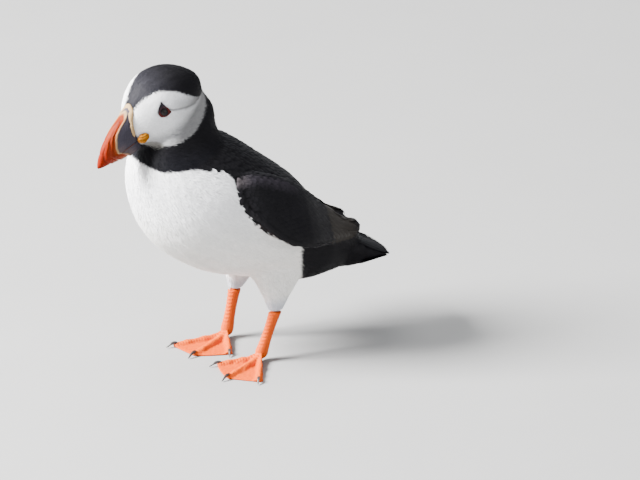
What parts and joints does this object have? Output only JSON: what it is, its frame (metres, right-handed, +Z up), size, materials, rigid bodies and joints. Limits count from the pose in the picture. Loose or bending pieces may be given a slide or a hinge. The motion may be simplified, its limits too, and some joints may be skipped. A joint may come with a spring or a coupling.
{
  "type": "atlantic puffin model",
  "caption": "Life-size still model of a standing puffin with a bowed head, folded wings, short tail and webbed feet.",
  "frame": {"origin": "centre of the bounding box on the ground plane under the feet", "axes": "+Z up; the bird faces -Y and its left side is +X"},
  "size_m": [0.1144, 0.2066, 0.2037],
  "materials": {
    "white_plumage": "white breast and belly feathers",
    "black_plumage": "black feathers of the crown, collar, back, wings and tail",
    "primary_plumage": "brownish-black primary tips",
    "bill_horn": "orange-red horn",
    "gape_skin": "orange-yellow wrinkled skin at the corner of the mouth",
    "eye": "wet dark eye",
    "leg_skin": "orange scaly skin",
    "claw_horn": "dark horn"
  },
  "bodies": {
    "root": {"bill_lower": "bill_horn", "bill_upper": "bill_horn", "claw_left_inner": "claw_horn", "claw_left_middle": "claw_horn", "claw_left_outer": "claw_horn", "claw_right_inner": "claw_horn", "claw_right_middle": "claw_horn", "claw_right_outer": "claw_horn", "eye_left": "eye", "eye_right": "eye", "foot_left": "leg_skin", "foot_right": "leg_skin", "gape_left": "gape_skin", "gape_right": "gape_skin", "head": "black_plumage", "mantle": "black_plumage", "neck": "black_plumage", "primaries_left": "primary_plumage", "primaries_right": "primary_plumage", "tail": "black_plumage", "tarsus_left": "leg_skin", "tarsus_right": "leg_skin", "thigh_left": "white_plumage", "thigh_right": "white_plumage", "trunk": "white_plumage", "wing_left": "black_plumage", "wing_right": "black_plumage"}
  },
  "joints": []
}
